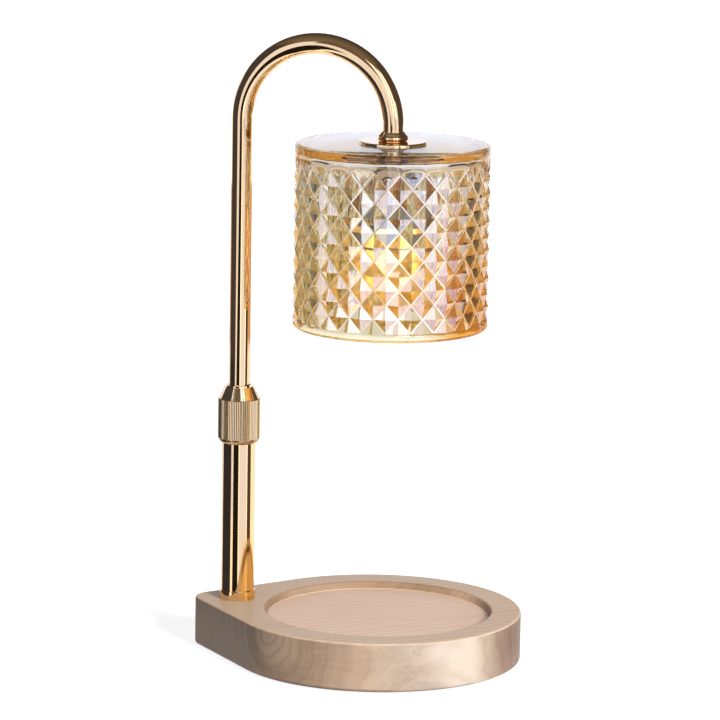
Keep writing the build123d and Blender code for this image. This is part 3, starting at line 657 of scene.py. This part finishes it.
def shade_outline():
    """The plain rest of the shade's section, from the rim's outside to the band's."""
    outer = SHADE_APEX_RADIUS - PLAIN_INSET
    rim = (outer - SHADE_RIM_ROUND, SHADE_LOW + SHADE_RIM_ROUND)
    lip = (SHADE_BORE_RADIUS + SHADE_LIP_ROUND, SHADE_LOW + SHADE_LIP_ROUND)
    inner = (SHADE_BORE_RADIUS - SHADE_INNER_ROUND, SHADE_CEILING - SHADE_INNER_ROUND)
    top = (outer - SHADE_TOP_ROUND, SHADE_TOP - SHADE_TOP_ROUND)
    land = SHADE_HOLE_RADIUS + SHADE_HOLE_LAND
    return [*arc(rim, SHADE_RIM_ROUND, 0, -90, 6), *arc(lip, SHADE_LIP_ROUND, -90, -180, 4),
            *arc(inner, SHADE_INNER_ROUND, 0, 90, 8),
            (land, SHADE_CEILING), (SHADE_HOLE_RADIUS, SHADE_CEILING),
            (SHADE_HOLE_RADIUS, SHADE_TOP), (land, SHADE_TOP),
            *arc(top, SHADE_TOP_ROUND, 90, 0, 6)]


def ring_of(mesh, radius, heights):
    """A ring of points round the shade, each with its own height."""
    return [mesh.verts.new(on_shade(k / STEPS_PER_HALF_COLUMN, z, radius))
            for k, z in enumerate(heights)]


def level_ring(mesh, radius, z):
    return ring_of(mesh, radius, [z] * (HALF_COLUMNS * STEPS_PER_HALF_COLUMN))


def join_rings(mesh, upper, lower):
    count = len(upper)
    for k in range(count):
        after = (k + 1) % count
        mesh.faces.new((upper[k], lower[k], lower[after], upper[after])).smooth = True


def scallop_heights():
    """The band's lower edge hangs in a shallow arc between each two tips of the first row."""
    heights = []
    for k in range(HALF_COLUMNS * STEPS_PER_HALF_COLUMN):
        from_column = (k / STEPS_PER_HALF_COLUMN) % 2
        off = min(from_column, 2 - from_column)
        heights.append(SCALLOP_LOW + (BAND_LOW - SCALLOP_LOW) * off**2)
    return heights


def ring_part(ring, i):
    """The ring's points from one half column before the half column i to one after it."""
    steps = STEPS_PER_HALF_COLUMN
    return [ring[(i * steps + k) % len(ring)] for k in range(-steps, steps + 1)]


def close_top(cut, band):
    """Joins the band's edge to the first row: a slope between each two tips, and the tips."""
    for i in range(0, HALF_COLUMNS, 2):
        low = cut.corner((i, 0), (i, 1))
        left = cut.corner((i, 0), (i - 1, 0))
        right = cut.corner((i, 0), (i + 1, 0))
        edge = ring_part(band, i)
        chain = [left] + edge[1:-1] + [right]
        for first, second in zip(chain, chain[1:]):
            cut.face(low, second, first)
        cut.face(edge[0], left, edge[1])
        cut.face(edge[-1], edge[-2], right)
    for i in range(1, HALF_COLUMNS, 2):
        before, after = cut.corner((i - 1, 0), (i, 0)), cut.corner((i + 1, 0), (i, 0))
        cut.face(band[i * STEPS_PER_HALF_COLUMN], before, cut.corner((i, 1), (i, 0)), after)


def close_low(cut, rim):
    """Joins the last row to the rim: half diamonds, the feet of the whole ones and short slopes."""
    steps, last = STEPS_PER_HALF_COLUMN, PATTERN_LEVELS
    for i in range(1, HALF_COLUMNS, 2):
        apex = cut.apex(i, last)
        left = cut.corner((i, last), (i - 1, last))
        right = cut.corner((i, last), (i + 1, last))
        top = cut.corner((i, last), (i, last - 1))
        cut.face(apex, top, left)
        cut.face(apex, right, top)
        edge = ring_part(rim, i)
        cut.face(apex, left, *edge[:steps + 1])
        cut.face(right, apex, *edge[steps:])
    for i in range(0, HALF_COLUMNS, 2):
        top, left, right = (cut.corner(centre, (i, last))
                            for centre in ((i, last - 1), (i - 1, last), (i + 1, last)))
        cut.face(top, left, rim[i * steps], right)


def keep_facets_flat(mesh):
    """Makes all faces smooth, with sharp edges between the flat ones.

    The renderer counts flat and smooth faces as two glasses, and would not let light out of one
    through the other. Edges at the band, the rim and the rest stay soft.
    """
    for edge in mesh.edges:
        edge.smooth = any(face.smooth for face in edge.link_faces)
    for face in mesh.faces:
        face.smooth = True


def mark_finishes(data):
    """Turns the faces' finishes into face attributes, because the shade has one material."""
    for name, finish in (("lustre", LUSTRE), ("groove", GROOVE)):
        shares = [float(polygon.material_index == finish) for polygon in data.polygons]
        data.attributes.new(name, "FLOAT", "FACE").data.foreach_set("value", shares)
    for polygon in data.polygons:
        polygon.material_index = PLAIN


def cut_shade(glass):
    """The pressed glass shade: diamonds outside, a smooth bore, a plain band, rim and top."""
    mesh = bmesh.new()
    cut = Cutting(mesh)
    for i in range(HALF_COLUMNS):
        for j in range(PATTERN_LEVELS):
            is_cell = (i + j) % 2 == 0
            if is_cell and j > 0:
                cut.pyramid(i, j)
            if is_cell:
                cut.grooves(i, j)
            if not is_cell and j > 0:
                cut.crossing(i, j)
    plain_radius = SHADE_APEX_RADIUS - PLAIN_INSET
    band = ring_of(mesh, plain_radius, scallop_heights())
    rim = level_ring(mesh, plain_radius, RIM_TOP)
    close_top(cut, band)
    close_low(cut, rim)
    rings = [rim] + [level_ring(mesh, radius, z) for radius, z in shade_outline()] + [band]
    for upper, lower in zip(rings, rings[1:]):
        join_rings(mesh, upper, lower)
    bmesh.ops.recalc_face_normals(mesh, faces=mesh.faces)
    keep_facets_flat(mesh)
    data = bpy.data.meshes.new("cut_glass_shade")
    mesh.to_mesh(data)
    mesh.free()
    data.materials.append(glass)
    mark_finishes(data)
    shade = bpy.data.objects.new("cut_glass_shade", data)
    bpy.context.scene.collection.objects.link(shade)
    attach(shade, "arm")
    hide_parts("glass_shade")


def fold_spare_lead(lead):
    """The spare lead in the post, as a copy on the base in place of the CAD's lead."""
    folded = bpy.data.objects.new("spare_lead", lead.data.copy())
    bpy.context.scene.collection.objects.link(folded)
    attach(folded, "base")
    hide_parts("slack_lead")
    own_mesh(folded)


def shine(name, colour, strength):
    """A plain emitter for the studio, which is seen but isn't counted as a lamp."""
    made = bpy.data.materials.new(name)
    made.use_nodes = True
    tree = made.node_tree
    tree.nodes.clear()
    glow = put(tree, "ShaderNodeEmission", {"Color": (*colour, 1), "Strength": strength})
    put(tree, "ShaderNodeOutputMaterial", {"Surface": glow.outputs[0]})
    made.cycles.emission_sampling = "NONE"
    return made


def set_on_stage(name, data, material, seen):
    """Adds a mesh to the scene that lights nothing and casts no shadow, seen by the camera or not.
    """
    data.materials.append(material)
    made = bpy.data.objects.new(name, data)
    bpy.context.scene.collection.objects.link(made)
    made.visible_camera = seen
    made.visible_diffuse = False
    made.visible_shadow = False
    return made


def stage_faces(name, points, faces, material, seen=False):
    data = bpy.data.meshes.new(name)
    data.from_pydata(points, [], faces)
    return set_on_stage(name, data, material, seen)


def panel(name, rows, colour, strength=1.0):
    """A studio card or softbox that only reflections and refractions see.

    Each row is (distance from the post, height, first angle, last angle), and the angles count
    from the camera's direction, positive to the right of the picture.
    """
    points = []
    for reach, z, start, end in rows:
        for k in range(CARD_STEPS + 1):
            angle = math.radians(TOWARDS_CAMERA + start + (end - start) * k / CARD_STEPS)
            points.append((POST_X * MM + reach * math.cos(angle), reach * math.sin(angle), z))
    faces = []
    width = CARD_STEPS + 1
    for row in range(len(rows) - 1):
        for k in range(CARD_STEPS):
            first = row * width + k
            faces.append((first, first + 1, first + width + 1, first + width))
    return stage_faces(name, points, faces, shine(name, colour, strength))


def dome(name, radius, colour, strength):
    """A glowing sphere round the lamp."""
    mesh = bmesh.new()
    bmesh.ops.create_uvsphere(mesh, u_segments=48, v_segments=24, radius=radius)
    data = bpy.data.meshes.new(name)
    mesh.to_mesh(data)
    mesh.free()
    return set_on_stage(name, data, shine(name, colour, strength), seen=True)


def dark_room(low, front, back):
    """The dim room over the white sweep, from low degrees over the horizon to overhead.

    Its colour goes from front, on the camera's side, to back.
    """
    around, rows = 32, 8
    points = [(0, 0, ROOM_RADIUS)]
    for row in range(rows):
        up = math.radians(90 - (90 - low) * (row + 1) / rows)
        reach, z = ROOM_RADIUS * math.cos(up), ROOM_RADIUS * math.sin(up)
        for k in range(around):
            turn = math.radians(360 * k / around)
            points.append((reach * math.cos(turn), reach * math.sin(turn), z))
    faces = [(0, 1 + k, 1 + (k + 1) % around) for k in range(around)]
    for row in range(rows - 1):
        for k in range(around):
            first, second = 1 + row * around + k, 1 + row * around + (k + 1) % around
            faces.append((first, second, second + around, first + around))
    walls = shine("dark_room", front, 1.0)
    tree = walls.node_tree
    shade = mixed(tree, between(tree, along(tree, "Y"), -ROOM_RADIUS, ROOM_RADIUS), front, back)
    tree.links.new(shade, tree.nodes["Emission"].inputs["Color"])
    stage_faces("dark_room", points, faces, walls).visible_transmission = False


def white_floor():
    """A matt white floor that takes the lamp's shadow."""
    paint, tree, shader = new_material("floor_paint")
    cloud = noise(tree, 3, detail=2)
    white = mixed(tree, spread(tree, cloud, 0, 1), (0.90, 0.90, 0.90), (0.88, 0.88, 0.88))
    connect(tree, shader, Base_Color=white)
    plain(shader, Roughness=0.9, Specular_IOR_Level=0.0, Emission_Color=(1.0, 1.0, 1.02, 1),
          Emission_Strength=0.83)
    paint.cycles.emission_sampling = "NONE"
    corners = [(x * FLOOR_HALF, y * FLOOR_HALF, 0) for x, y in ((-1, -1), (1, -1), (1, 1), (-1, 1))]
    stage_faces("floor", corners, [(0, 1, 2, 3)], paint, seen=True).visible_shadow = True


def backdrops():
    """A cool white backdrop, and a neutral one that is seen only through the glass."""
    dome("backdrop", BACKDROP_RADIUS, (1.0, 1.08, 1.30), 1.02).visible_transmission = False
    through = dome("backdrop_through_glass", THROUGH_GLASS_RADIUS, (1.0, 1.0, 0.98), 1.0)
    through.visible_camera = False
    through.visible_glossy = False


def cards():
    """The cards and softboxes that give the tubes their bands, from left to right."""
    far, low = CARD_REACH, CARD_GAP
    panel("card_far_left",
          [(0.10, low, -128, -49), (far, low, -128, -49), (far, 0.03, -128, -49)],
          (0.036, 0.036, 0.052))
    panel("card_far_left_high",
          [(far, 0.03, -128, -49), (far, 0.22, -128, -49), (far, 0.90, -128, -52)],
          (0.062, 0.060, 0.080))
    panel("card_left",
          [(0.10, low, -34, 2), (far, low, -34, 2), (far, 0.10, -27, 2), (far, 0.19, -24, 0)],
          (0.016, 0.013, 0.012))
    panel("high_light", [(far, 0.19, -24, 6), (far, 0.40, -24, 6)], (1.0, 1.1, 1.40))
    panel("card_left_high", [(far, 0.40, -26, 3), (far, 0.90, -22, 6)], (0.15, 0.13, 0.11))
    panel("strip_light",
          [(0.30, low / 2, -52, -20), (0.65, low / 2, -52, -20), (0.65, 0.60, -52, -16)],
          (1.0, 1.1, 1.45))
    panel("softbox",
          [(0.12, low / 2, 9, 58), (0.62, low / 2, 9, 58), (0.62, 0.24, 9, 52)],
          (0.98, 1.10, 1.55), 0.98)
    panel("softbox_top", [(0.62, 0.24, 12, 46), (0.62, 0.70, 12, 46)], (1.0, 1.15, 1.42), 1.65)
    panel("divider", [(far, 0.17, 26, 31), (far, 0.90, 26, 31)], (0.14, 0.12, 0.10))
    panel("card_right",
          [(0.16, low, 65, 95), (far, low, 65, 95), (far, 0.14, 64, 98), (far, 0.22, 60, 140),
           (far, 0.90, 52, 140)],
          (0.085, 0.070, 0.070))


def warm_surroundings():
    """Warm panels that the glass shows at its edges, and amber ones that the tubes reflect."""
    far, low = CARD_REACH, CARD_GAP
    seen_through = {
        "warm_horizon": [(HORIZON_REACH, 0.09, -180, 180), (HORIZON_REACH, 0.45, -180, 180)],
        "warm_left": [(0.16, low, -162, -75), (far, low, -162, -75), (far, 0.30, -150, -75)],
        "warm_right": [(0.16, low, 62, 162), (far, low, 62, 162), (far, 0.35, 62, 150)],
    }
    for name, rows in seen_through.items():
        panel(name, rows, (0.80, 0.56, 0.22)).visible_glossy = False
    for name, start, end in (("amber_left", -165, -128), ("amber_right", 98, 165)):
        rows = [(far, 0.04, start, end), (far, 0.14, start, end)]
        panel(name, rows, (0.70, 0.42, 0.20)).visible_transmission = False


def bounce_card():
    """A dim disc that gives the floor's bounce, which the floor itself doesn't give."""
    angles = [math.radians(360 * k / BOUNCE_CORNERS) for k in range(BOUNCE_CORNERS)]
    disc = [(BOUNCE_RADIUS * math.cos(a), BOUNCE_RADIUS * math.sin(a), BOUNCE_HEIGHT)
            for a in angles]
    card = stage_faces("bounce_card", disc, [tuple(range(BOUNCE_CORNERS))],
                       shine("bounce", (1.0, 0.95, 0.9), 0.10))
    card.visible_diffuse = True
    card.visible_glossy = False
    card.visible_transmission = False


def room_light():
    """A soft, even light from all sides."""
    world = bpy.data.worlds.new("room")
    world.use_nodes = True
    sky = world.node_tree.nodes["Background"]
    sky.inputs["Color"].default_value = (1.0, 0.99, 0.98, 1)
    sky.inputs["Strength"].default_value = 0.42
    bpy.context.scene.world = world


def area_light(name, angle, height_angle, distance, size, power, colour):
    """A soft light at an angle from the camera's direction, aimed at the lamp's lower part."""
    data = bpy.data.lights.new(name, "AREA")
    data.shape = "DISK"
    data.size = size
    data.energy = power
    data.color = colour
    light = bpy.data.objects.new(name, data)
    bpy.context.scene.collection.objects.link(light)
    around = math.radians(TOWARDS_CAMERA + angle)
    up = math.radians(height_angle)
    away = Vector((math.cos(around) * math.cos(up), math.sin(around) * math.cos(up), math.sin(up)))
    light.location = Vector((0, 0, 0.05)) + away * distance
    light.rotation_euler = away.to_track_quat("Z", "Y").to_euler()
    light.visible_camera = False
    light.visible_glossy = False
    light.visible_transmission = False
    return light


def key_light():
    area_light("key", angle=33, height_angle=24, distance=1.6, size=0.5, power=29.0,
               colour=(1.0, 0.985, 0.97))


def sheen_on(wood):
    """A low light from the right that only the wood's satin coat picks up."""
    light = area_light("wood_sheen", angle=62, height_angle=4, distance=1.2, size=0.35, power=4.0,
                       colour=(0.92, 0.96, 1.0))
    light.data.diffuse_factor = 0.15
    light.visible_glossy = True
    chosen = bpy.data.collections.new("sheen_receivers")
    chosen.objects.link(wood)
    light.light_linking.receiver_collection = chosen


def camera():
    """The photograph's camera, rolled a little to the side."""
    data = bpy.data.cameras.new("camera")
    data.lens = CAMERA_LENS
    data.sensor_width = SENSOR_WIDTH
    data.clip_end = SIGHT_LIMIT
    made = bpy.data.objects.new("camera", data)
    bpy.context.scene.collection.objects.link(made)
    back = (CAMERA_PLACE - CAMERA_AIM).normalized()
    level = Vector((0, 0, 1)).cross(back).normalized()
    upright = back.cross(level)
    right = level * math.cos(CAMERA_ROLL) + upright * math.sin(CAMERA_ROLL)
    axes = Matrix((right, back.cross(right), back)).transposed()
    made.matrix_world = Matrix.Translation(CAMERA_PLACE) @ axes.to_4x4()
    bpy.context.scene.camera = made


def light_paths():
    """Enough bounces for light through two walls of glass, and plain colours."""
    paths = bpy.context.scene.cycles
    paths.max_bounces = 24
    paths.glossy_bounces = 16
    paths.transmission_bounces = 24
    bpy.context.scene.view_settings.view_transform = "Standard"


materials = every_material()
dress_nodes(materials)
cut_shade(materials["amber_glass"])
fold_spare_lead(nodes["slack_lead"])
white_floor()
backdrops()
cards()
dark_room(24, (0.220, 0.195, 0.165), (0.040, 0.035, 0.034))
warm_surroundings()
bounce_card()
room_light()
key_light()
sheen_on(nodes["wood_base"])
camera()
light_paths()
